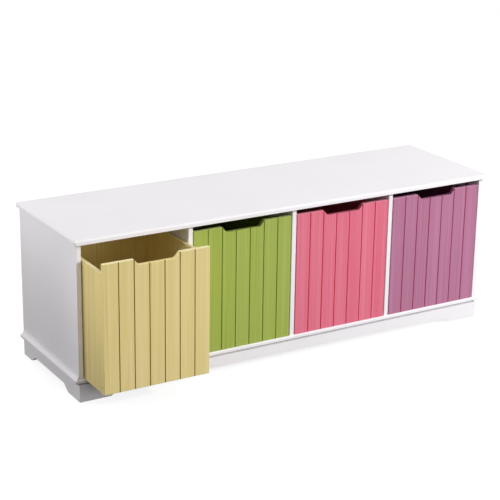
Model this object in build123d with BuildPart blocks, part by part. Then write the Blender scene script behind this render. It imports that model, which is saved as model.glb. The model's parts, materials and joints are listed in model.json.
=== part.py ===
from math import cos, radians, sin
import os

from build123d import *

os.makedirs("parts", exist_ok=True)

# Overall sizes of the cabinet
overall_length = 1200.0
overall_depth = 350.0
overall_height = 406.0

# Boards
board_t = 12.0
base_board_t = 9.0
back_t = 4.0
side_overhang = 9.0
top_front_overhang = 13.0
base_projection = 3.0
top_edge_r = 4.0
top_under_edge_r = 1.5
base_edge_r = 3.0
base_under_edge_r = 1.0
upright_edge_r = 0.8
rebate_w = 6.0
back_fit = 0.5

# Plinth with bracket feet
plinth_height = 48.0
plinth_t = 12.0
reveal_h = 4.0
reveal_depth = 6.0
arch_height = 15.5
arch_run = 25.0
front_foot = 82.0
side_foot_front = 68.0
side_foot_back = 48.0
block_size = 26.0
block_height = 36.0

# Cove strip in the corner between each side panel and the base board
cove_w = 6.0
cove_h = 9.0
cove_lip = 1.0

# Pull-out bins
bin_count = 4
bin_side_clear = 2.75
bin_run_clear = 0.5
bin_rear_gap = 5.0
bin_top_gap = 17.0
bin_side_drop = 23.0
bin_front_t = 10.0
bin_board_t = 9.0
bin_bottom_t = 9.0
bin_bottom_lift = 11.5
bin_edge_r = 1.0
first_bin_pulled_out = 111.0
planks = 7
groove_w = 3.0
groove_depth = 1.8
cutout_planks = 3
cutout_depth = 14.5
cutout_slope_w = 11.5
cutout_low_r = 12.0
cutout_lip_r = 3.0

# Fasteners
hole_clear = 0.05
screw_r = 2.0
screw_head_r = 3.9
screw_head_h = 2.4
screw_recess_r = 1.1
screw_recess_h = 1.2
base_screw_l = 35.0
base_screw_rows = 3
base_screw_span = 240.0
block_screw_l = 40.0
dowel_r = 4.0
dowel_in_top = 8.0
dowel_in_upright = 18.0
dowel_span = 120.0
bolt_r = 3.0
bolt_in_top = 8.0
bolt_neck_r = 2.2
bolt_ball_r = 3.2
bolt_span = 220.0
disc_r = 7.5
disc_t = 9.0
disc_drop = 24.0
disc_slot_w = 7.0
disc_hub_r = 4.0
disc_cross_w = 1.4
disc_cross_l = 8.0
disc_cross_depth = 1.5
disc_face_t = 2.5
nail_r = 0.8
nail_head_r = 2.0
nail_head_h = 1.0
back_nail_l = 18.0
back_nail_rows = 4
back_nail_margin = 35.0
bin_nail_l = 25.0
bin_nail_head_r = 1.5
bin_nail_head_h = 0.8
bin_nail_inset = 3.0
bin_dowel_r = 2.5
bin_dowel_in_front = 6.5
bin_dowel_in_side = 15.0
bin_joint_rows = 3
bin_joint_margin = 40.0

# Derived levels and planes
half_length = overall_length / 2
side_outer = half_length - side_overhang
side_inner = side_outer - board_t
top_under = overall_height - board_t
base_top = plinth_height + base_board_t
upright_h = top_under - base_top
back_y = overall_depth / 2
top_front_y = -overall_depth / 2
front_y = top_front_y + top_front_overhang
base_front_y = front_y - base_projection
side_depth = back_y - front_y
divider_depth = side_depth - back_t
opening_w = (2 * side_inner - (bin_count - 1) * board_t) / bin_count
pitch = opening_w + board_t
divider_xs = [(i - bin_count / 2) * pitch for i in range(1, bin_count)]
bin_xs = [(i - (bin_count - 1) / 2) * pitch for i in range(bin_count)]
bin_w = opening_w - 2 * bin_side_clear
bin_length = divider_depth - bin_rear_gap
bin_front_h = upright_h - bin_run_clear - bin_top_gap
bin_side_h = bin_front_h - bin_side_drop
plank_w = bin_w / planks
screw_hole_r = screw_r + hole_clear
bolt_ys = (-bolt_span / 2, bolt_span / 2)
dowel_ys = (-dowel_span / 2, dowel_span / 2)
disc_z = top_under - disc_drop
end_screw_x = side_outer - board_t / 2
upright_xs = [-end_screw_x] + divider_xs + [end_screw_x]
row_gap = base_screw_span / (base_screw_rows - 1)
base_screw_ys = [-base_screw_span / 2 + i * row_gap for i in range(base_screw_rows)]
nail_x = side_inner + rebate_w / 2
nail_gap = (upright_h - 2 * back_nail_margin) / (back_nail_rows - 1)
back_nail_zs = [base_top + back_nail_margin + i * nail_gap for i in range(back_nail_rows)]
back_nail_points = [(x, z) for x in [-nail_x] + divider_xs + [nail_x] for z in back_nail_zs]
block_x = side_outer - plinth_t - block_size / 2
block_front_y = base_front_y + plinth_t + block_size / 2
block_back_y = back_y - plinth_t - block_size / 2


def finish(builder, name):
    """Name the finished piece and write it out."""
    builder.part.label = name
    export_step(builder.part, f"parts/{name}.step")


# Top board
with BuildPart() as top_board:
    with BuildSketch(Plane.XY.offset(top_under)):
        Rectangle(overall_length, overall_depth)
    extrude(amount=board_t)
    front_corners = top_board.edges().filter_by(Axis.Z).group_by(Axis.Y)[0]
    top_rim = top_board.faces().sort_by(Axis.Z)[-1].edges()
    front_and_ends = top_rim.sort_by(Axis.Y)[:-1]
    fillet(front_corners + front_and_ends, top_edge_r)
    under_rim = top_board.faces().sort_by(Axis.Z)[0].edges()
    fillet(under_rim.sort_by(Axis.Y)[:-1], top_under_edge_r)
    hole_points = [(x, y) for x in upright_xs for y in bolt_ys]
    with BuildSketch(Plane.XY.offset(top_under)):
        with Locations(*hole_points):
            Circle(bolt_r + hole_clear)
    extrude(amount=bolt_in_top, mode=Mode.SUBTRACT)
    dowel_points = [(x, y) for x in upright_xs for y in dowel_ys]
    with BuildSketch(Plane.XY.offset(top_under)):
        with Locations(*dowel_points):
            Circle(dowel_r + hole_clear)
    extrude(amount=dowel_in_top, mode=Mode.SUBTRACT)
finish(top_board, "top_board")

# Base board with its moulded nose, screwed up into the uprights
with BuildPart() as base_board:
    with BuildSketch(Plane.XY.offset(plinth_height)):
        with Locations((0, (base_front_y + back_y) / 2)):
            Rectangle(overall_length, back_y - base_front_y)
    extrude(amount=base_board_t)
    front_corners = base_board.edges().filter_by(Axis.Z).group_by(Axis.Y)[0]
    top_rim = base_board.faces().sort_by(Axis.Z)[-1].edges()
    fillet(front_corners + top_rim.sort_by(Axis.Y)[:-1], base_edge_r)
    under_rim = base_board.faces().sort_by(Axis.Z)[0].edges()
    fillet(under_rim.sort_by(Axis.Y)[:-1], base_under_edge_r)
    base_screw_points = [(x, y) for x in upright_xs for y in base_screw_ys]
    with BuildSketch(Plane.XY.offset(plinth_height)):
        with Locations(*base_screw_points):
            Circle(screw_hole_r)
    extrude(amount=base_board_t, mode=Mode.SUBTRACT)
    with Locations(Plane.XY.offset(plinth_height)):
        with Locations(*base_screw_points):
            Cone(
                bottom_radius=screw_head_r + hole_clear,
                top_radius=screw_hole_r,
                height=screw_head_h,
                align=(Align.CENTER, Align.CENTER, Align.MIN),
                mode=Mode.SUBTRACT,
            )
    block_points = [(x, y) for x in (-block_x, block_x) for y in (block_front_y, block_back_y)]
    block_pilot_l = block_screw_l - block_height
    with BuildSketch(Plane.XY.offset(plinth_height)):
        with Locations(*block_points):
            Circle(screw_hole_r)
    extrude(amount=block_pilot_l, mode=Mode.SUBTRACT)
finish(base_board, "base_board")


def cut_upright_fixings(x, face_x, inward):
    """Cut the dowel, cam bolt, cam disc and base screw holes of one upright."""
    with BuildSketch(Plane.XY.offset(top_under)) as dowel_holes:
        with Locations(*[(x, y) for y in dowel_ys]):
            Circle(dowel_r + hole_clear)
    extrude(dowel_holes.sketch, amount=-dowel_in_upright, mode=Mode.SUBTRACT)
    with BuildSketch(Plane.XY.offset(top_under)) as bolt_holes:
        with Locations(*[(x, y) for y in bolt_ys]):
            Circle(bolt_ball_r + hole_clear)
    extrude(bolt_holes.sketch, amount=-disc_drop, mode=Mode.SUBTRACT)
    with BuildSketch(Plane.YZ.offset(face_x)) as disc_holes:
        with Locations(*[(y, disc_z) for y in bolt_ys]):
            Circle(disc_r + hole_clear)
    extrude(disc_holes.sketch, amount=inward * disc_t, mode=Mode.SUBTRACT)
    with BuildSketch(Plane.XY.offset(base_top)) as screw_holes:
        with Locations(*[(x, y) for y in base_screw_ys]):
            Circle(screw_hole_r)
    extrude(screw_holes.sketch, amount=base_screw_l - base_board_t, mode=Mode.SUBTRACT)


def cut_back_nails(x):
    """Cut the pilot holes of one column of back panel nails."""
    with BuildSketch(Plane.XZ.offset(-back_y)) as pilots:
        with Locations(*[(x, z) for z in back_nail_zs]):
            Circle(nail_r + hole_clear)
    extrude(pilots.sketch, amount=back_nail_l, mode=Mode.SUBTRACT)


def side_panel(sign):
    """One end upright, rebated along its rear inner edge for the back panel."""
    inner = sign * side_inner
    with BuildPart() as panel:
        with BuildSketch(Plane.XY.offset(base_top)):
            with Locations((sign * end_screw_x, (front_y + back_y) / 2)):
                Rectangle(board_t, side_depth)
        extrude(amount=upright_h)
        fillet(panel.edges().filter_by(Axis.Z).group_by(Axis.Y)[0], upright_edge_r)
        with BuildSketch(Plane.XY.offset(base_top)):
            with Locations((inner + sign * rebate_w / 2, back_y - back_t / 2)):
                Rectangle(rebate_w, back_t)
        extrude(amount=upright_h, mode=Mode.SUBTRACT)
        cut_upright_fixings(sign * end_screw_x, inner, sign)
        cut_back_nails(sign * nail_x)
    return panel


left_side_panel = side_panel(-1)
finish(left_side_panel, "left_side_panel")
right_side_panel = side_panel(1)
finish(right_side_panel, "right_side_panel")


def divider(x):
    """One inner upright between two bins."""
    with BuildPart() as panel:
        with BuildSketch(Plane.XY.offset(base_top)):
            with Locations((x, front_y + divider_depth / 2)):
                Rectangle(board_t, divider_depth)
        extrude(amount=upright_h)
        fillet(panel.edges().filter_by(Axis.Z).group_by(Axis.Y)[0], upright_edge_r)
        cut_upright_fixings(x, x + board_t / 2, -1)
        cut_back_nails(x)
    return panel


for number, x in enumerate(divider_xs, start=1):
    finish(divider(x), f"divider_{number}")

# Back panel, let into the side panels and nailed on
with BuildPart() as back_panel:
    with BuildSketch(Plane.XZ.offset(-back_y)):
        with Locations((0, (base_top + top_under) / 2)):
            Rectangle(2 * (side_inner + rebate_w - back_fit), upright_h - 2 * back_fit)
    extrude(amount=back_t)
    with BuildSketch(Plane.XZ.offset(-back_y)):
        with Locations(*back_nail_points):
            Circle(nail_r + hole_clear)
    extrude(amount=back_t, mode=Mode.SUBTRACT)
    with BuildSketch(Plane.XZ.offset(-back_y)):
        with Locations(*back_nail_points):
            Circle(nail_head_r + hole_clear)
    extrude(amount=nail_head_h, mode=Mode.SUBTRACT)
finish(back_panel, "back_panel")


def cove_strip(sign):
    """A hollow-faced strip in the corner of one side panel and the base board."""
    lean = radians(45)
    mid_x = cove_w - (cove_w - cove_lip) * sin(lean)
    mid_z = cove_h - (cove_h - cove_lip) * cos(lean)
    with BuildPart() as strip:
        with BuildSketch(Plane.XZ.offset(-front_y)):
            with BuildLine():
                root = (sign * side_outer, base_top)
                toe = (sign * (side_outer + cove_w), base_top)
                toe_lip = (sign * (side_outer + cove_w), base_top + cove_lip)
                middle = (sign * (side_outer + mid_x), base_top + mid_z)
                head_lip = (sign * (side_outer + cove_lip), base_top + cove_h)
                head = (sign * side_outer, base_top + cove_h)
                Polyline(root, toe, toe_lip)
                ThreePointArc(toe_lip, middle, head_lip)
                Polyline(head_lip, head, root)
            make_face()
        extrude(amount=-side_depth)
    return strip


left_cove_strip = cove_strip(-1)
finish(left_cove_strip, "left_cove_strip")
right_cove_strip = cove_strip(1)
finish(right_cove_strip, "right_cove_strip")


def cut_arch(plane, low, high, low_foot, high_foot, depth):
    """Cut the long arch that leaves a bracket foot at each end of a rail."""
    with BuildSketch(plane) as opening:
        with BuildLine():
            Polyline(
                (low + low_foot, 0),
                (low + low_foot + arch_run, arch_height),
                (high - high_foot - arch_run, arch_height),
                (high - high_foot, 0),
                close=True,
            )
        make_face()
    extrude(opening.sketch, amount=depth, mode=Mode.SUBTRACT)


# Plinth rails: the front ones meet at mitres, the rear one stands between the side ones
with BuildPart() as plinth_front:
    with BuildSketch():
        with BuildLine():
            Polyline(
                (-side_outer, base_front_y),
                (side_outer, base_front_y),
                (side_outer - plinth_t, base_front_y + plinth_t),
                (-side_outer + plinth_t, base_front_y + plinth_t),
                close=True,
            )
        make_face()
    extrude(amount=plinth_height)
    front_plane = Plane.XZ.offset(-base_front_y)
    cut_arch(front_plane, -side_outer, side_outer, front_foot, front_foot, -plinth_t)
    with BuildSketch(Plane.XY.offset(plinth_height)):
        with Locations((0, base_front_y + reveal_depth / 2)):
            Rectangle(2 * side_outer, reveal_depth)
    extrude(amount=-reveal_h, mode=Mode.SUBTRACT)
finish(plinth_front, "plinth_front")


def side_rail(sign):
    """One end rail of the plinth, mitred at the front."""
    outer = sign * side_outer
    inner = sign * (side_outer - plinth_t)
    with BuildPart() as rail:
        with BuildSketch():
            with BuildLine():
                Polyline(
                    (outer, base_front_y),
                    (inner, base_front_y + plinth_t),
                    (inner, back_y),
                    (outer, back_y),
                    close=True,
                )
            make_face()
        extrude(amount=plinth_height)
        end_plane = Plane.YZ.offset(outer)
        depth = -sign * plinth_t
        cut_arch(end_plane, base_front_y, back_y, side_foot_front, side_foot_back, depth)
        with BuildSketch(Plane.XY.offset(plinth_height)):
            with Locations((outer - sign * reveal_depth / 2, (base_front_y + back_y) / 2)):
                Rectangle(reveal_depth, back_y - base_front_y)
        extrude(amount=-reveal_h, mode=Mode.SUBTRACT)
    return rail


plinth_left = side_rail(-1)
finish(plinth_left, "plinth_left")
plinth_right = side_rail(1)
finish(plinth_right, "plinth_right")

with BuildPart() as plinth_back:
    rail_half = side_outer - plinth_t
    with BuildSketch(Plane.XZ.offset(-back_y)):
        with Locations((0, plinth_height / 2)):
            Rectangle(2 * rail_half, plinth_height)
    extrude(amount=plinth_t)
    back_foot = front_foot - plinth_t
    cut_arch(Plane.XZ.offset(-back_y), -rail_half, rail_half, back_foot, back_foot, plinth_t)
finish(plinth_back, "plinth_back")


def corner_block(x, y):
    """A glued block in one corner of the plinth, screwed up into the base board."""
    low_z = plinth_height - block_height
    with BuildPart() as block:
        with BuildSketch(Plane.XY.offset(low_z)):
            with Locations((x, y)):
                Rectangle(block_size, block_size)
        extrude(amount=block_height)
        with BuildSketch(Plane.XY.offset(low_z)):
            with Locations((x, y)):
                Circle(screw_hole_r)
        extrude(amount=block_height, mode=Mode.SUBTRACT)
        with Locations((x, y, low_z)):
            Cone(
                bottom_radius=screw_head_r + hole_clear,
                top_radius=screw_hole_r,
                height=screw_head_h,
                align=(Align.CENTER, Align.CENTER, Align.MIN),
                mode=Mode.SUBTRACT,
            )
    return block


block_names = ["front_left", "back_left", "front_right", "back_right"]
for block_name, (x, y) in zip(block_names, block_points):
    finish(corner_block(x, y), f"corner_block_{block_name}")


def screw_group(points, head_z, length):
    """Countersunk screws pointing up, their heads flush with head_z."""
    with BuildPart() as screws:
        with BuildSketch(Plane.XY.offset(head_z)):
            with Locations(*points):
                Circle(screw_r)
        extrude(amount=length)
        with Locations(Plane.XY.offset(head_z)):
            with Locations(*points):
                Cone(
                    bottom_radius=screw_head_r,
                    top_radius=screw_r,
                    height=screw_head_h,
                    align=(Align.CENTER, Align.CENTER, Align.MIN),
                )
        with BuildSketch(Plane.XY.offset(head_z)):
            with Locations(*points):
                RegularPolygon(screw_recess_r, 6)
        extrude(amount=screw_recess_h, mode=Mode.SUBTRACT)
    return screws


base_screws = screw_group(base_screw_points, plinth_height, base_screw_l)
finish(base_screws, "base_screws")
block_screws = screw_group(block_points, plinth_height - block_height, block_screw_l)
finish(block_screws, "block_screws")

# Dowels between the top board and the uprights
with BuildPart() as top_dowels:
    with BuildSketch(Plane.XY.offset(top_under - dowel_in_upright)):
        with Locations(*dowel_points):
            Circle(dowel_r)
    extrude(amount=dowel_in_upright + dowel_in_top)
finish(top_dowels, "top_dowels")

# Cam bolts hanging from the top board into the cam discs
with BuildPart() as cam_bolts:
    with BuildSketch(Plane.XY.offset(top_under)):
        with Locations(*hole_points):
            Circle(bolt_r)
    extrude(amount=bolt_in_top)
    with BuildSketch(Plane.XY.offset(top_under)):
        with Locations(*hole_points):
            Circle(bolt_neck_r)
    extrude(amount=-(disc_drop - bolt_ball_r))
    with Locations(*[(x, y, disc_z + bolt_ball_r) for x, y in hole_points]):
        Cylinder(bolt_ball_r, bolt_ball_r)
finish(cam_bolts, "cam_bolts")

# Cam discs, each slotted for its bolt and cut with a cross for the driver
with BuildPart() as cam_discs:
    for x in upright_xs:
        face_x = x + board_t / 2 if x < side_inner else x - board_t / 2
        outward = 1 if x < side_inner else -1
        disc_points = [(y, disc_z) for y in bolt_ys]
        with BuildSketch(Plane.YZ.offset(face_x)):
            with Locations(*disc_points):
                Circle(disc_r)
        extrude(amount=-outward * disc_t)
        with BuildSketch(Plane.YZ.offset(face_x - outward * disc_face_t)):
            with Locations(*disc_points):
                Circle(disc_hub_r)
            with Locations(*[(y, disc_z + disc_r / 2) for y in bolt_ys]):
                Rectangle(disc_slot_w, disc_r)
        extrude(amount=-outward * disc_t, mode=Mode.SUBTRACT)
        with BuildSketch(Plane.YZ.offset(face_x)):
            with Locations(*disc_points):
                Rectangle(disc_cross_l, disc_cross_w)
                Rectangle(disc_cross_w, disc_cross_l)
        extrude(amount=-outward * disc_cross_depth, mode=Mode.SUBTRACT)
finish(cam_discs, "cam_discs")

# Nails of the back panel
with BuildPart() as back_nails:
    with BuildSketch(Plane.XZ.offset(-back_y)):
        with Locations(*back_nail_points):
            Circle(nail_head_r)
    extrude(amount=nail_head_h)
    with BuildSketch(Plane.XZ.offset(-back_y)):
        with Locations(*back_nail_points):
            Circle(nail_r)
    extrude(amount=back_nail_l)
finish(back_nails, "back_nails")

# Bin joints, measured from the bin's lower front edge
joint_gap = (bin_side_h - 2 * bin_joint_margin) / (bin_joint_rows - 1)
joint_zs = [bin_joint_margin + i * joint_gap for i in range(bin_joint_rows)]
dowel_x = bin_w / 2 - bin_board_t / 2
bottom_nail_z = bin_bottom_lift + bin_bottom_t / 2
bottom_nail_front = bin_front_t + bin_nail_inset
bottom_nail_back = bin_length - bin_board_t - bin_nail_inset - bin_joint_margin
bottom_nail_middle = (bottom_nail_front + bottom_nail_back) / 2
bottom_nail_ys = [bottom_nail_front, bottom_nail_middle, bottom_nail_back]
back_joint_y = bin_length - bin_board_t / 2
side_nail_points = [(y, bottom_nail_z) for y in bottom_nail_ys]
side_nail_points += [(back_joint_y, z) for z in joint_zs]


def nail_circles(sign, x0, y0, z0, radius):
    """The nail centres on one side face of a bin, as circles."""
    with BuildSketch(Plane.YZ.offset(x0 + sign * bin_w / 2)) as circles:
        with Locations(*[(y0 + y, z0 + z) for y, z in side_nail_points]):
            Circle(radius)
    return circles.sketch


def make_bin(name, x0, y0, z0):
    """Build one bin: x0 its centre line, y0 its front face, z0 its lower edge."""
    half_w = bin_w / 2
    front_top = z0 + bin_front_h
    low_half = cutout_planks * plank_w / 2 - cutout_slope_w
    high_half = cutout_planks * plank_w / 2

    with BuildPart() as front:
        with BuildSketch(Plane.XZ.offset(-y0)) as outline:
            with Locations((x0, z0 + bin_front_h / 2)):
                Rectangle(bin_w, bin_front_h)
            with BuildLine():
                Polyline(
                    (x0 - high_half, front_top),
                    (x0 - low_half, front_top - cutout_depth),
                    (x0 + low_half, front_top - cutout_depth),
                    (x0 + high_half, front_top),
                    close=True,
                )
            make_face(mode=Mode.SUBTRACT)
            notch = outline.vertices().filter_by_position(
                Axis.X, x0 - high_half - hole_clear, x0 + high_half + hole_clear
            )
            fillet(notch.group_by(Axis.Y)[0], cutout_low_r)
            lips = outline.vertices().group_by(Axis.Y)[-1].sort_by(Axis.X)[1:-1]
            fillet(lips, cutout_lip_r)
        extrude(amount=-bin_front_t)
        fillet(front.faces().sort_by(Axis.Y)[0].edges(), bin_edge_r)
        with BuildSketch(Plane.XY.offset(z0)):
            for i in range(1, planks):
                groove_x = x0 - half_w + i * plank_w
                with BuildLine():
                    Polyline(
                        (groove_x - groove_w / 2, y0),
                        (groove_x, y0 + groove_depth),
                        (groove_x + groove_w / 2, y0),
                        close=True,
                    )
                make_face()
        extrude(amount=bin_front_h, mode=Mode.SUBTRACT)
        with BuildSketch(Plane.XZ.offset(-y0 - bin_front_t)):
            with Locations(*[(x0 + s * dowel_x, z0 + z) for s in (-1, 1) for z in joint_zs]):
                Circle(bin_dowel_r + hole_clear)
        extrude(amount=bin_dowel_in_front, mode=Mode.SUBTRACT)
    finish(front, f"{name}_front")

    for sign, side_name in ((-1, "left_side"), (1, "right_side")):
        with BuildPart() as side:
            side_length = bin_length - bin_front_t
            with BuildSketch(Plane.XY.offset(z0)):
                with Locations((x0 + sign * dowel_x, y0 + bin_front_t + side_length / 2)):
                    Rectangle(bin_board_t, side_length)
            extrude(amount=bin_side_h)
            fillet(side.faces().sort_by(Axis.Z)[-1].edges().filter_by(Axis.Y), bin_edge_r)
            with BuildSketch(Plane.XZ.offset(-y0 - bin_front_t)):
                with Locations(*[(x0 + sign * dowel_x, z0 + z) for z in joint_zs]):
                    Circle(bin_dowel_r + hole_clear)
            extrude(amount=-bin_dowel_in_side, mode=Mode.SUBTRACT)
            shanks = nail_circles(sign, x0, y0, z0, nail_r + hole_clear)
            extrude(shanks, amount=-sign * bin_board_t, mode=Mode.SUBTRACT)
            heads = nail_circles(sign, x0, y0, z0, bin_nail_head_r + hole_clear)
            extrude(heads, amount=-sign * bin_nail_head_h, mode=Mode.SUBTRACT)
        finish(side, f"{name}_{side_name}")

    inner_w = bin_w - 2 * bin_board_t
    with BuildPart() as back:
        with BuildSketch(Plane.XY.offset(z0)):
            with Locations((x0, y0 + back_joint_y)):
                Rectangle(inner_w, bin_board_t)
        extrude(amount=bin_side_h)
        fillet(back.faces().sort_by(Axis.Z)[-1].edges().filter_by(Axis.X), bin_edge_r)
        for sign in (-1, 1):
            with BuildSketch(Plane.YZ.offset(x0 + sign * half_w)):
                with Locations(*[(y0 + back_joint_y, z0 + z) for z in joint_zs]):
                    Circle(nail_r + hole_clear)
            extrude(amount=-sign * bin_nail_l, mode=Mode.SUBTRACT)
    finish(back, f"{name}_back")

    with BuildPart() as bottom:
        bottom_length = bin_length - bin_front_t - bin_board_t
        with BuildSketch(Plane.XY.offset(z0 + bin_bottom_lift)):
            with Locations((x0, y0 + bin_front_t + bottom_length / 2)):
                Rectangle(inner_w, bottom_length)
        extrude(amount=bin_bottom_t)
        for sign in (-1, 1):
            with BuildSketch(Plane.YZ.offset(x0 + sign * half_w)):
                with Locations(*[(y0 + y, z0 + bottom_nail_z) for y in bottom_nail_ys]):
                    Circle(nail_r + hole_clear)
            extrude(amount=-sign * bin_nail_l, mode=Mode.SUBTRACT)
    finish(bottom, f"{name}_bottom")

    with BuildPart() as nails:
        for sign in (-1, 1):
            heads = nail_circles(sign, x0, y0, z0, bin_nail_head_r)
            extrude(heads, amount=-sign * bin_nail_head_h)
            shanks = nail_circles(sign, x0, y0, z0, nail_r)
            extrude(shanks, amount=-sign * bin_nail_l)
    finish(nails, f"{name}_nails")

    with BuildPart() as dowels:
        with BuildSketch(Plane.XZ.offset(-y0 - bin_front_t + bin_dowel_in_front)):
            with Locations(*[(x0 + s * dowel_x, z0 + z) for s in (-1, 1) for z in joint_zs]):
                Circle(bin_dowel_r)
        extrude(amount=-bin_dowel_in_front - bin_dowel_in_side)
    finish(dowels, f"{name}_dowels")


bin_names = ["yellow_bin", "green_bin", "pink_bin", "purple_bin"]
for number, bin_x in enumerate(bin_xs):
    bin_name = bin_names[number % len(bin_names)]
    pulled = first_bin_pulled_out if number == 0 else 0
    make_bin(bin_name, bin_x, front_y - pulled, base_top + bin_run_clear)
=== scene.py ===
import json
import math

import bpy
from mathutils import Matrix, Vector


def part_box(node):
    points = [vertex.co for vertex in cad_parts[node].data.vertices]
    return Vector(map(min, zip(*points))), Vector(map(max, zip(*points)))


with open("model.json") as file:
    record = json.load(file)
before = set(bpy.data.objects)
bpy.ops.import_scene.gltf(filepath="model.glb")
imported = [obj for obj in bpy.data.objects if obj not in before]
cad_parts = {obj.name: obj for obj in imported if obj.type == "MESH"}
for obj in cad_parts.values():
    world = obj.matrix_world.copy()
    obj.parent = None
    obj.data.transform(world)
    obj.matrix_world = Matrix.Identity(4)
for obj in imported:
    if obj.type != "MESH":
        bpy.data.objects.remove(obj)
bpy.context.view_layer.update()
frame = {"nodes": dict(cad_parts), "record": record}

nodes = frame["nodes"]
scene = bpy.context.scene

# ---------------------------------------------------------------- camera
CAMERA_AT = Vector((-1.9301, -3.1901, 1.5091))
CAMERA_YAW = math.radians(30.77)
CAMERA_DOWN = math.radians(18.835)
CAMERA_ROLL = math.radians(0.862)
LENS_MM = 109.3
SENSOR_MM = 36.0
CAMERA_REACH = 100.0


def make_camera():
    """The camera at the viewing angle, a long lens about four metres away."""
    data = bpy.data.cameras.new("camera")
    data.lens = LENS_MM
    data.sensor_width = SENSOR_MM
    data.clip_end = CAMERA_REACH
    camera = bpy.data.objects.new("camera", data)
    scene.collection.objects.link(camera)
    sin_yaw, cos_yaw = math.sin(CAMERA_YAW), math.cos(CAMERA_YAW)
    sin_down, cos_down = math.sin(CAMERA_DOWN), math.cos(CAMERA_DOWN)
    sin_roll, cos_roll = math.sin(CAMERA_ROLL), math.cos(CAMERA_ROLL)
    ahead = Vector((sin_yaw * cos_down, cos_yaw * cos_down, -sin_down))
    level = Vector((cos_yaw, -sin_yaw, 0.0))
    above = level.cross(ahead)
    right = level * cos_roll + above * sin_roll
    up = above * cos_roll - level * sin_roll
    turn = Matrix((right, up, -ahead)).transposed().to_4x4()
    camera.matrix_world = Matrix.Translation(CAMERA_AT) @ turn
    scene.camera = camera


# ---------------------------------------------------------------- light and floor
WORLD_WHITE = (1.0, 0.998, 1.0, 1.0)
WORLD_SEEN = 1.1
WORLD_FILL = 0.54
FLOOR_HALF = 30.0
FLOOR_DROP = 0.0002
FLOOR_GREY = (0.30, 0.30, 0.30, 1.0)
FLOOR_GLOW = 0.84
FLOOR_BOUNCE = (0.06, 0.06, 0.06, 1.0)

# Soft panels: name, place, point they face, width, height, watts
CABINET_MIDDLE = (0.0, 0.0, 0.3)
BACK_MIDDLE = (0.0, 0.17, 0.2)
PANELS = (
    ("key", (3.3, -2.8, 2.0), CABINET_MIDDLE, 0.3, 0.3, 146.0),
    ("overhead_back", (0.2, 2.5, 3.0), CABINET_MIDDLE, 3.0, 2.0, 6.0),
    ("front_fill", (2.0, -3.5, 1.2), CABINET_MIDDLE, 2.0, 1.2, 34.0),
    ("left_back", (-3.0, 1.5, 1.4), CABINET_MIDDLE, 1.6, 1.6, 25.0),
    ("back_fill", (0.4, 2.4, 0.2), BACK_MIDDLE, 2.4, 0.3, 22.0),
)
# Soft-edged spots: name, place, point they face, cone in degrees, watts
SPOTS = (
    ("left_top", (-3.2, 0.2, 0.9), (-0.6, 0.1, 0.7), 24, 101.0),
    ("bin_side", (-3.0, -0.42, 0.8), (-0.576, -0.37, 0.3), 12, 104.0),
)
SPOT_RADIUS = 0.15


def hang(data, place, target):
    """Put a light at place, facing target."""
    light = bpy.data.objects.new(data.name, data)
    light.location = place
    light.rotation_mode = "QUATERNION"
    light.rotation_quaternion = (Vector(place) - Vector(target)).to_track_quat("Z", "Y")
    scene.collection.objects.link(light)


def make_panel(name, place, target, width, height, power):
    data = bpy.data.lights.new(name, "AREA")
    data.shape = "RECTANGLE"
    data.size = width
    data.size_y = height
    data.energy = power
    hang(data, place, target)


def make_spot(name, place, target, cone_degrees, power):
    data = bpy.data.lights.new(name, "SPOT")
    data.energy = power
    data.spot_size = math.radians(cone_degrees)
    data.spot_blend = 1.0
    data.shadow_soft_size = SPOT_RADIUS
    hang(data, place, target)


def make_world():
    """White where the camera sees it, and a dimmer even fill for everything else."""
    world = bpy.data.worlds.new("studio")
    scene.world = world
    world.use_nodes = True
    tree = world.node_tree
    tree.nodes.clear()
    out = tree.nodes.new("ShaderNodeOutputWorld")
    seen = tree.nodes.new("ShaderNodeBackground")
    seen.inputs["Color"].default_value = WORLD_WHITE
    seen.inputs["Strength"].default_value = WORLD_SEEN
    fill = tree.nodes.new("ShaderNodeBackground")
    fill.inputs["Color"].default_value = WORLD_WHITE
    fill.inputs["Strength"].default_value = WORLD_FILL
    path = tree.nodes.new("ShaderNodeLightPath")
    mix = tree.nodes.new("ShaderNodeMixShader")
    tree.links.new(path.outputs["Is Camera Ray"], mix.inputs["Fac"])
    tree.links.new(fill.outputs[0], mix.inputs[1])
    tree.links.new(seen.outputs[0], mix.inputs[2])
    tree.links.new(mix.outputs[0], out.inputs["Surface"])


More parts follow.
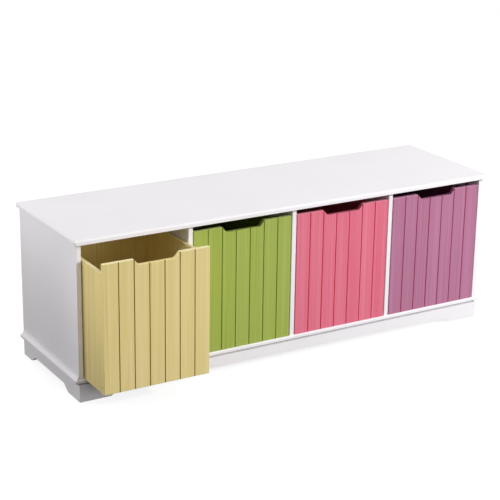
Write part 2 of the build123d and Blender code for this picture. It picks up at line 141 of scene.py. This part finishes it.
def make_floor():
    """A plain pale floor that takes a faint shadow and throws little light back up."""
    mesh = bpy.data.meshes.new("floor")
    corners = [(-FLOOR_HALF, -FLOOR_HALF, 0), (FLOOR_HALF, -FLOOR_HALF, 0),
               (FLOOR_HALF, FLOOR_HALF, 0), (-FLOOR_HALF, FLOOR_HALF, 0)]
    mesh.from_pydata(corners, [], [(0, 1, 2, 3)])
    floor = bpy.data.objects.new("floor", mesh)
    scene.collection.objects.link(floor)
    floor.location.z = -FLOOR_DROP
    material = bpy.data.materials.new("floor_white")
    material.use_nodes = True
    tree = material.node_tree
    shader = tree.nodes["Principled BSDF"]
    shader.inputs["Base Color"].default_value = FLOOR_GREY
    shader.inputs["Roughness"].default_value = 1.0
    shader.inputs["Specular IOR Level"].default_value = 0.0
    glow = tree.nodes.new("ShaderNodeEmission")
    glow.inputs["Strength"].default_value = FLOOR_GLOW
    path = tree.nodes.new("ShaderNodeLightPath")
    add = tree.nodes.new("ShaderNodeAddShader")
    dull = tree.nodes.new("ShaderNodeBsdfDiffuse")
    dull.inputs["Color"].default_value = FLOOR_BOUNCE
    mix = tree.nodes.new("ShaderNodeMixShader")
    tree.links.new(shader.outputs[0], add.inputs[0])
    tree.links.new(glow.outputs[0], add.inputs[1])
    tree.links.new(path.outputs["Is Camera Ray"], mix.inputs["Fac"])
    tree.links.new(dull.outputs[0], mix.inputs[1])
    tree.links.new(add.outputs[0], mix.inputs[2])
    tree.links.new(mix.outputs[0], tree.nodes["Material Output"].inputs["Surface"])
    floor.data.materials.append(material)


# ---------------------------------------------------------------- materials
class Finish:
    """One procedural material, with short ways to add its nodes."""

    def __init__(self, name):
        self.material = bpy.data.materials.new(name)
        self.material.use_nodes = True
        self.tree = self.material.node_tree
        self.shader = self.tree.nodes["Principled BSDF"]
        coords = self.tree.nodes.new("ShaderNodeTexCoord")
        self.place = coords.outputs["Object"]
        split = self.tree.nodes.new("ShaderNodeSeparateXYZ")
        self.tree.links.new(self.place, split.inputs[0])
        self.xyz = split.outputs

    def feed(self, socket, value):
        if isinstance(value, bpy.types.NodeSocket):
            self.tree.links.new(value, socket)
        else:
            socket.default_value = value

    def math(self, kind, first, second=0.0, third=0.0, clamp=False):
        node = self.tree.nodes.new("ShaderNodeMath")
        node.operation = kind
        node.use_clamp = clamp
        for socket, value in zip(node.inputs, (first, second, third)):
            self.feed(socket, value)
        return node.outputs[0]

    def spread(self, value, low, high, to_low=0.0, to_high=1.0, smooth=True):
        """value from low..high to to_low..to_high, held at the ends."""
        node = self.tree.nodes.new("ShaderNodeMapRange")
        node.interpolation_type = "SMOOTHSTEP" if smooth else "LINEAR"
        self.feed(node.inputs["Value"], value)
        for socket, number in zip(("From Min", "From Max", "To Min", "To Max"),
                                  (low, high, to_low, to_high)):
            node.inputs[socket].default_value = number
        return node.outputs[0]

    def stretched(self, per_metre, offset=(0.0, 0.0, 0.0)):
        """The place, scaled by so many noise cells a metre along each axis."""
        node = self.tree.nodes.new("ShaderNodeMapping")
        self.feed(node.inputs["Vector"], self.place)
        node.inputs["Scale"].default_value = per_metre
        node.inputs["Location"].default_value = offset
        return node.outputs[0]

    def noise(self, vector, scale=1.0, detail=3.0, rough=0.5, twist=0.0):
        node = self.tree.nodes.new("ShaderNodeTexNoise")
        self.feed(node.inputs["Vector"], vector)
        node.inputs["Scale"].default_value = scale
        node.inputs["Detail"].default_value = detail
        node.inputs["Roughness"].default_value = rough
        node.inputs["Distortion"].default_value = twist
        return node.outputs["Fac"]

    def cell(self, value):
        """A steady random number from 0 to 1 for each whole number."""
        node = self.tree.nodes.new("ShaderNodeTexWhiteNoise")
        node.noise_dimensions = "1D"
        self.feed(node.inputs["W"], value)
        return node.outputs["Value"]

    def mix(self, amount, first, second, kind="MIX"):
        node = self.tree.nodes.new("ShaderNodeMix")
        node.data_type = "RGBA"
        node.blend_type = kind
        self.feed(node.inputs[0], amount)
        self.feed(node.inputs[6], first)
        self.feed(node.inputs[7], second)
        return node.outputs[2]

    def bump(self, height, distance, strength=1.0, under=None):
        node = self.tree.nodes.new("ShaderNodeBump")
        node.inputs["Strength"].default_value = strength
        node.inputs["Distance"].default_value = distance
        self.feed(node.inputs["Height"], height)
        if under is not None:
            self.feed(node.inputs["Normal"], under)
        return node.outputs[0]

    def set(self, **sockets):
        for name, value in sockets.items():
            self.feed(self.shader.inputs[name.replace("_", " ")], value)


def rgb(red, green, blue):
    """A colour from 0-255 screen values, as linear numbers."""
    line = []
    for value in (red, green, blue):
        v = value / 255.0
        line.append(v / 12.92 if v <= 0.04045 else ((v + 0.055) / 1.055) ** 2.4)
    return (*line, 1.0)


def edge_nearness(finish, low, high, reach):
    """1 on the arrises of a board's box, falling to 0 at reach from them."""
    gaps = []
    for axis in range(3):
        below = finish.math("SUBTRACT", finish.xyz[axis], low[axis])
        above = finish.math("SUBTRACT", high[axis], finish.xyz[axis])
        gaps.append(finish.math("MINIMUM", below, above))
    least = finish.math("MINIMUM", finish.math("MINIMUM", gaps[0], gaps[1]), gaps[2])
    most = finish.math("MAXIMUM", finish.math("MAXIMUM", gaps[0], gaps[1]), gaps[2])
    total = finish.math("ADD", finish.math("ADD", gaps[0], gaps[1]), gaps[2])
    middle = finish.math("SUBTRACT", finish.math("SUBTRACT", total, least), most)
    return finish.spread(middle, 0.0, reach, 1.0, 0.0)


def along(axis, fine, coarse):
    """Noise cells a metre: few along the brush stroke, many across it."""
    return tuple(coarse if i == axis else fine for i in range(3))


# Heights of the paint's and the wood's relief, in metres
WHITE_RELIEF = 0.00012
BIN_RELIEF = 0.00018
SHEET_RELIEF = 0.0001
WOOD_RELIEF = 0.0001
METAL_RELIEF = 0.00004
# How far from an arris the paint is rubbed; on the bins this paler edge is also a painted
# highlight
WHITE_RUB = 0.0022
BIN_RUB_AND_HIGHLIGHT = 0.0018
# How far the shine of each paint goes
WHITE_SPECULAR = 0.2
BIN_SPECULAR = 0.3
# The recess at the top of the plinth, and the painted shade along it
RECESS = 0.004
RECESS_BELOW = 0.0006
RECESS_ABOVE = 0.0004
RECESS_SHADE = 0.55

WHITE_PLAIN = rgb(252, 249, 252)
WHITE_CLOUD = rgb(249, 246, 249)
WHITE_STROKE = rgb(246, 243, 245)
WHITE_WORN = rgb(238, 232, 224)
RECESS_SHADE_GREY = rgb(150, 148, 150)


def white_finish(node_name, stroke_axis):
    """Satin white paint on fibreboard: faint roller stipple, faint long strokes and
    edges rubbed a little warmer, where the paint is thinnest. On the plinth boards,
    a grey band of painted shade runs along the recess under the ledge."""
    low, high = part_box(node_name)
    finish = Finish("white_" + node_name)
    shift = tuple(value * 3.7 for value in low)
    strokes = finish.noise(finish.stretched(along(stroke_axis, 260.0, 5.0), shift), detail=4.0)
    cloud = finish.noise(finish.place, 5.0, 3.0)
    stipple = finish.noise(finish.place, 900.0, 2.0)
    rub = finish.noise(finish.place, 120.0, 4.0, 0.7)
    colour = finish.mix(finish.spread(cloud, 0.3, 0.7), WHITE_PLAIN, WHITE_CLOUD)
    colour = finish.mix(finish.spread(strokes, 0.35, 0.75, 0.0, 0.5), colour, WHITE_STROKE)
    near = edge_nearness(finish, low, high, WHITE_RUB)
    edge_patches = finish.math("MULTIPLY", near, finish.spread(rub, 0.42, 0.68))
    colour = finish.mix(finish.math("MULTIPLY", edge_patches, 0.5), colour, WHITE_WORN)
    # Painted shade: a grey band along the recess at the plinth's top, where shadow falls under
    # the ledge.
    if node_name.startswith("plinth_"):
        brink = high[2] - RECESS
        recess_shade = finish.spread(finish.xyz[2], brink - RECESS_BELOW, brink + RECESS_ABOVE,
                             0.0, RECESS_SHADE)
        colour = finish.mix(recess_shade, colour, RECESS_SHADE_GREY)
    roughness = finish.spread(strokes, 0.3, 0.7, 0.46, 0.58)
    height = finish.math("ADD", finish.math("MULTIPLY", stipple, 0.5), strokes)
    finish.set(Base_Color=colour, Roughness=roughness,
               Normal=finish.bump(height, WHITE_RELIEF, 0.6))
    finish.shader.inputs["Specular IOR Level"].default_value = WHITE_SPECULAR
    return finish.material


# The fronts' planks and grooves
PLANKS = 7
PLANK_SEED = 91.0
GROOVE_DEPTH = 0.0018
GROOVE_SPARE = 0.0004
GROOVE_FULL = 0.0016
GROOVE_NONE = 0.0034
GROOVE_TOP = 0.0002
GROOVE_WALL = 0.0009
# How far below a board's top the painted highlight on the rim begins and ends
RIM_HIGHLIGHT_FAR = 0.0012
RIM_HIGHLIGHT_NEAR = 0.0002


def groove_mask(finish, low, high):
    """1 in the grooves of a front, 0 elsewhere, and which plank each place is on."""
    plank = (high[0] - low[0]) / PLANKS
    count = finish.math("DIVIDE", finish.math("SUBTRACT", finish.xyz[0], low[0]), plank)
    part = finish.math("FRACT", count)
    gap = finish.math("MINIMUM", part, finish.math("SUBTRACT", 1.0, part))
    near_line = finish.spread(finish.math("MULTIPLY", gap, plank), GROOVE_FULL, GROOVE_NONE,
                              1.0, 0.0)
    inside = finish.math("MINIMUM", finish.math("SUBTRACT", finish.xyz[0], low[0]),
                         finish.math("SUBTRACT", high[0], finish.xyz[0]))
    inside = finish.math("GREATER_THAN", inside, plank / 2)
    depth = finish.math("SUBTRACT", finish.xyz[1], low[1])
    sunk = finish.spread(depth, GROOVE_TOP, GROOVE_WALL)
    shallow = finish.math("LESS_THAN", depth, GROOVE_DEPTH + GROOVE_SPARE)
    mask = finish.math("MULTIPLY", finish.math("MULTIPLY", near_line, inside),
                       finish.math("MULTIPLY", sunk, shallow))
    return mask, finish.math("FLOOR", count)


def bin_finish(node_name, stroke_axis, tones, grooved):
    """Satin coloured paint brushed along the boards, over softwood grain, with painted shade in
    the front's grooves and a painted highlight along the edges and top rims.
    """
    low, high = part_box(node_name)
    finish = Finish("paint_" + node_name)
    shift = tuple(value * 5.3 for value in low)
    strokes = finish.noise(finish.stretched(along(stroke_axis, 330.0, 3.0), shift), detail=5.0,
                           rough=0.62)
    grain = finish.noise(finish.stretched(along(stroke_axis, 90.0, 1.6), shift), detail=3.0,
                         rough=0.5, twist=0.6)
    stipple = finish.noise(finish.place, 1100.0, 2.0)
    cloud = finish.noise(finish.stretched((4.0, 4.0, 2.0), shift), 1.0, 2.0)
    rub = finish.noise(finish.place, 140.0, 4.0, 0.7)
    plain, pale, deep, groove_shade, pale_and_highlight = tones
    colour = finish.mix(finish.spread(grain, 0.34, 0.66), plain, pale)
    colour = finish.mix(finish.spread(strokes, 0.48, 0.74, 0.0, 0.85), colour, deep)
    colour = finish.mix(finish.spread(cloud, 0.35, 0.65, 0.0, 0.3), colour, pale)
    bands = finish.noise(finish.stretched(along(stroke_axis, 150.0, 1.2), shift), detail=2.0)
    colour = finish.mix(finish.spread(bands, 0.5, 0.68, 0.0, 0.28), colour, pale_and_highlight)
    height = finish.math("ADD", finish.math("MULTIPLY", stipple, 0.3), strokes)
    height = finish.math("ADD", finish.math("MULTIPLY", grain, 0.8), height)
    if grooved:
        mask, plank_number = groove_mask(finish, low, high)
        tone = finish.cell(finish.math("ADD", plank_number, low[0] * PLANK_SEED))
        colour = finish.mix(finish.spread(tone, 0.0, 1.0, 0.0, 0.45, False), colour, pale)
        # Painted shade in the grooves: a darker, more saturated tone that deepens with depth into
        # the groove.
        colour = finish.mix(mask, colour, groove_shade)
    # Edges pale towards the rim tone: partly wear, partly a painted highlight where the rounded
    # arrises catch the light.
    near = edge_nearness(finish, low, high, BIN_RUB_AND_HIGHLIGHT)
    edge_patches = finish.math("MULTIPLY", near, finish.spread(rub, 0.4, 0.65))
    colour = finish.mix(finish.math("MULTIPLY", edge_patches, 0.6), colour, pale_and_highlight)
    # Painted highlight: a paler band along the board's top rim, where the light catches it,
    # broken up a little by the rub noise.
    if not node_name.endswith("_bottom"):
        rim_highlight = finish.spread(finish.xyz[2], high[2] - RIM_HIGHLIGHT_FAR, high[2] - RIM_HIGHLIGHT_NEAR, 0.0, 0.8)
        rim_highlight = finish.math("MULTIPLY", rim_highlight, finish.spread(rub, 0.2, 0.5, 0.75, 1.0))
        colour = finish.mix(rim_highlight, colour, pale_and_highlight)
    roughness = finish.spread(strokes, 0.3, 0.7, 0.38, 0.52)
    finish.set(Base_Color=colour, Roughness=roughness,
               Normal=finish.bump(height, BIN_RELIEF, 0.7))
    finish.shader.inputs["Specular IOR Level"].default_value = BIN_SPECULAR
    return finish.material


# For each bin: plain, pale, deep, groove and rim; the groove tone is painted shade in the
# grooves, and the rim tone is a paler paint for streaks and worn edges that also serves as the
# painted highlight on edges and top rims
TONES = {
    "yellow": (rgb(233, 212, 140), rgb(241, 220, 154), rgb(216, 196, 120), rgb(132, 102, 8),
               rgb(246, 236, 186)),
    "green": (rgb(164, 181, 81), rgb(172, 188, 92), rgb(142, 168, 61), rgb(122, 148, 16),
               rgb(196, 208, 128)),
    "pink": (rgb(230, 112, 135), rgb(235, 124, 147), rgb(215, 88, 114), rgb(240, 32, 92),
               rgb(246, 158, 176)),
    "purple": (rgb(183, 114, 145), rgb(187, 124, 155), rgb(165, 102, 134), rgb(206, 56, 120),
               rgb(214, 156, 190)),
}


def back_board_finish():
    """White-faced hardboard: a smooth sheet with the faint pits of its pressing."""
    finish = Finish("white_hardboard")
    cloud = finish.noise(finish.place, 9.0, 4.0)
    pits = finish.noise(finish.place, 700.0, 3.0, 0.7)
    colour = finish.mix(finish.spread(cloud, 0.35, 0.65), rgb(240, 238, 236), rgb(233, 231, 228))
    colour = finish.mix(finish.spread(pits, 0.62, 0.75, 0.0, 0.35), colour, rgb(214, 209, 202))
    finish.set(Base_Color=colour, Roughness=finish.spread(pits, 0.3, 0.7, 0.5, 0.62),
               Normal=finish.bump(pits, SHEET_RELIEF, 0.5))
    return finish.material


def wood_finish(name, axis, pale, dark, ring_scale):
    """Bare planed wood: long bent rings with fine pores along the piece."""
    finish = Finish(name)
    rings = finish.noise(finish.stretched(along(axis, ring_scale, ring_scale * 0.06)), 1.0, 3.0,
                         0.45, 1.4)
    pores = finish.noise(finish.stretched(along(axis, 900.0, 30.0)), 1.0, 3.0)
    colour = finish.mix(finish.spread(rings, 0.38, 0.62), pale, dark)
    colour = finish.mix(finish.spread(pores, 0.5, 0.75, 0.0, 0.4), colour, dark)
    finish.set(Base_Color=colour, Roughness=finish.spread(pores, 0.3, 0.7, 0.55, 0.7),
               Normal=finish.bump(pores, WOOD_RELIEF, 0.5))
    return finish.material


def metal_finish(name, bright, dull, rough_low, rough_high):
    """Small steel fixings: bright metal clouded by handling marks."""
    finish = Finish(name)
    cloud = finish.noise(finish.place, 400.0, 4.0, 0.6)
    scratch = finish.noise(finish.place, 2600.0, 2.0)
    colour = finish.mix(finish.spread(cloud, 0.38, 0.64), bright, dull)
    finish.set(Base_Color=colour, Roughness=finish.spread(cloud, 0.3, 0.7, rough_low, rough_high),
               Normal=finish.bump(scratch, METAL_RELIEF, 0.4))
    finish.shader.inputs["Metallic"].default_value = 1.0
    return finish.material


# Which way each board's strokes run: 0 along the cabinet, 1 front to back, 2 upright
STROKE_AXIS = {
    "top_board": 0, "base_board": 0, "plinth_front": 0, "plinth_back": 0,
    "plinth_left": 1, "plinth_right": 1, "left_cove_strip": 1, "right_cove_strip": 1,
}
BIN_COLOURS = ("yellow", "green", "pink", "purple")

# Bare wood and metal: the light and dark tones, then rings a metre or roughness
PINE_TONES = (rgb(226, 198, 152), rgb(204, 168, 116))
PINE_RINGS = 120.0
BEECH_TONES = (rgb(218, 186, 146), rgb(196, 158, 114))
BEECH_RINGS = 300.0
ZINC_TONES = (rgb(206, 208, 210), rgb(170, 172, 172))
ZINC_ROUGHNESS = (0.28, 0.45)
NAIL_TONES = (rgb(150, 130, 100), rgb(110, 88, 60))
NAIL_ROUGHNESS = (0.4, 0.6)


def dress(node_name, material):
    slots = nodes[node_name].material_slots
    for one in slots:
        one.material = material
    if not slots:
        nodes[node_name].data.materials.append(material)


def dress_all():
    slot_of = {}
    for part in frame["record"]["subparts"]:
        slot_of[part["node"]] = part["material_slot"]
    shared = {
        "back_board_white": back_board_finish(),
        "bare_pine": wood_finish("bare_pine", 2, *PINE_TONES, PINE_RINGS),
        "beech_dowel": wood_finish("beech_dowel", 2, *BEECH_TONES, BEECH_RINGS),
        "zinc_steel": metal_finish("zinc_steel", *ZINC_TONES, *ZINC_ROUGHNESS),
        "nail_steel": metal_finish("nail_steel", *NAIL_TONES, *NAIL_ROUGHNESS),
    }
    for node_name in sorted(nodes):
        slot = slot_of.get(node_name)
        if slot in shared:
            dress(node_name, shared[slot])
            continue
        colour = node_name.split("_bin_")[0]
        if colour in BIN_COLOURS:
            axis = 1 if node_name.endswith("_bottom") else 2
            grooved = node_name.endswith("_front")
            dress(node_name, bin_finish(node_name, axis, TONES[colour], grooved))
        else:
            dress(node_name, white_finish(node_name, STROKE_AXIS.get(node_name, 2)))


make_camera()
make_world()
make_floor()
for panel in PANELS:
    make_panel(*panel)
for spot in SPOTS:
    make_spot(*spot)
dress_all()

scene.view_settings.view_transform = "Standard"
